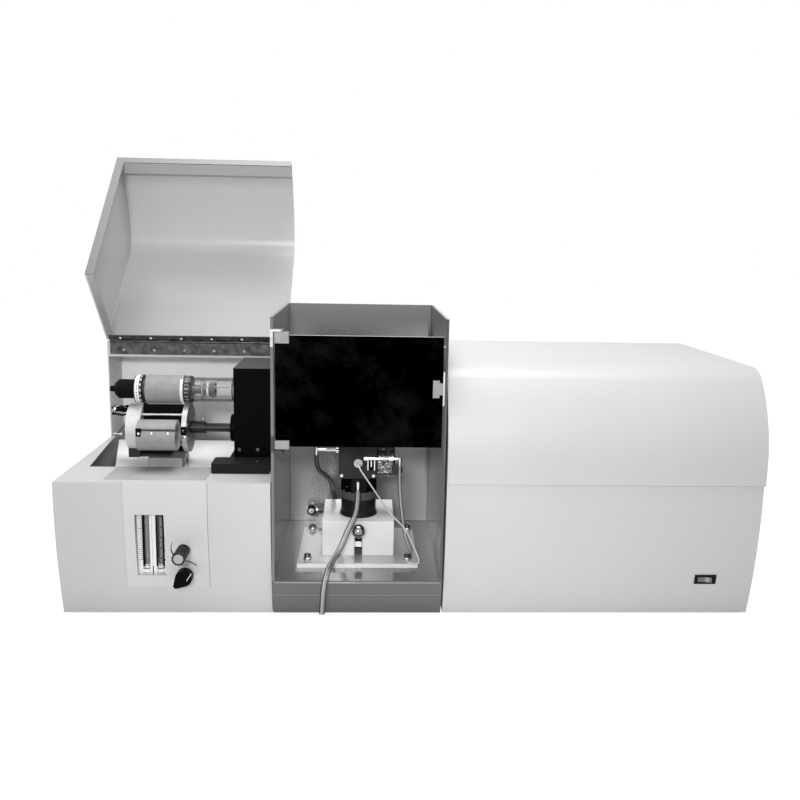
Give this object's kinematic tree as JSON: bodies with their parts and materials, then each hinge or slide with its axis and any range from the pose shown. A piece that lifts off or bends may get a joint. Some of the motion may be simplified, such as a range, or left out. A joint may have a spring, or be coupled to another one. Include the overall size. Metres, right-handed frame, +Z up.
{
  "type": "atomic absorption spectrophotometer",
  "caption": "Bench spectrometer with an open lamp compartment, a burner chamber behind a dark door and a closed optics housing.",
  "frame": {"origin": "centre of the footprint, at bench height under the feet", "axes": "+X to the instrument's right seen from the front, +Y to the back, +Z up"},
  "size_m": [1.0414, 0.5042, 0.7017],
  "materials": {
    "shell": "satin",
    "panel": "matt",
    "chamber": "gloss",
    "chamber_white": "gloss",
    "block": "hammered",
    "steel": "brushed",
    "bright": "polished",
    "alu": "satin",
    "dark_glass": "polished",
    "clear_glass": "polished",
    "black": "moulded",
    "grey_plastic": "moulded",
    "white_plastic": "moulded",
    "clear_plastic": "moulded",
    "rubber": "matt",
    "tube": "translucent",
    "board": "matt"
  },
  "bodies": {
    "housing": {"left_base": "shell", "control_panel": "panel", "right_base": "shell", "right_cover": "shell", "rear_panel_right": "shell", "rear_panel_left": "shell", "rear_housing_left": "shell", "lamp_bay_back": "shell", "lamp_bay_floor": "shell", "hinge_leaf_fixed": "steel", "lid_stops": "rubber", "flame_chamber": "chamber", "rear_bridge": "shell", "door_hinges": "steel", "door_strike": "steel", "beam_block": "block", "beam_lens": "clear_glass", "turret_supports": "alu", "burner_base_plate": "chamber_white", "burner_box": "chamber_white", "chamber_fittings": "bright", "drain_hose": "tube", "sample_capillary": "white_plastic", "air_hose": "rubber", "fuel_hose": "rubber", "flowmeters": "clear_plastic", "switch_bezel": "black", "feet": "rubber", "optical_bed": "alu", "monochromator_case": "block", "photomultiplier": "grey_plastic", "electronics": "board"},
    "lid": {"lamp_lid": "shell", "hinge_leaf_lid": "steel"},
    "flame_door": {"flame_door_glass": "dark_glass", "door_clamps": "steel", "door_catch_plate": "steel"},
    "turret": {"turret_ring": "alu", "turret_disc": "alu", "turret_cross": "alu", "turret_rods_and_screws": "steel", "turret_shaft": "steel", "lamp_clamps": "alu", "lamp_envelope": "clear_glass", "lamp_collars": "white_plastic", "lamp_socket": "grey_plastic", "lamp_electrodes": "steel"},
    "burner_carriage": {"mixing_chamber": "black", "height_knob": "bright", "burner_block": "grey_plastic", "burner_head": "steel", "gas_pipes": "steel"},
    "nebulizer_adjuster": {"nebulizer_knob": "bright"},
    "gas_valve": {"valve_knob": "black"},
    "selector": {"selector_knob": "black"},
    "power_rocker": {"switch_rocker": "black"},
    "air_float": {"float_air": "black"},
    "fuel_float": {"float_fuel": "black"},
    "grating": {"grating_table": "alu"},
    "fan": {"fan_rotor": "black"}
  },
  "joints": [
    {"name": "lid_hinge", "type": "hinge", "parent": "housing", "child": "lid", "pos_m": [-0.36475, 0.07894, 0.384], "axis": [1, 0, 0], "range_deg": [0, 138.4]},
    {"name": "door_hinge", "type": "hinge", "parent": "housing", "child": "flame_door", "pos_m": [-0.19525, -0.20006, 0.35], "axis": [0, 0, -1], "range_deg": [0, 110]},
    {"name": "turret_turn", "type": "hinge", "parent": "housing", "child": "turret", "pos_m": [-0.38575, -0.07106, 0.266], "axis": [-1, 0, 0], "range_deg": [0, 90]},
    {"name": "burner_height", "type": "slide", "parent": "housing", "child": "burner_carriage", "axis": [0, 0, 1], "range_m": [-0.012, 0], "deforming": ["drain_hose", "sample_capillary", "air_hose", "fuel_hose"]},
    {"name": "nebulizer_turn", "type": "hinge", "parent": "burner_carriage", "child": "nebulizer_adjuster", "pos_m": [-0.08325, -0.11806, 0.222], "axis": [0, -1, 0], "continuous": true},
    {"name": "valve_turn", "type": "hinge", "parent": "housing", "child": "gas_valve", "pos_m": [-0.33455, -0.22506, 0.1154], "axis": [0, -1, 0], "continuous": true},
    {"name": "selector_turn", "type": "hinge", "parent": "housing", "child": "selector", "pos_m": [-0.33475, -0.20906, 0.074], "axis": [0, -1, 0], "range_deg": [-90, 0]},
    {"name": "power_rock", "type": "hinge", "parent": "housing", "child": "power_rocker", "pos_m": [0.44575, -0.18906, 0.065], "axis": [0, 0, 1], "range_deg": [0, 14]},
    {"name": "air_float_rise", "type": "slide", "parent": "housing", "child": "air_float", "axis": [0, 0, 1], "range_m": [0, 0.06]},
    {"name": "fuel_float_rise", "type": "slide", "parent": "housing", "child": "fuel_float", "axis": [0, 0, 1], "range_m": [0, 0.06]},
    {"name": "grating_turn", "type": "hinge", "parent": "housing", "child": "grating", "pos_m": [0.39925, 0.04494, 0.254], "axis": [0, 0, 1], "range_deg": [-30, 30]},
    {"name": "fan_turn", "type": "hinge", "parent": "housing", "child": "fan", "pos_m": [0.39925, 0.15694, 0.11], "axis": [0, -1, 0], "continuous": true}
  ]
}
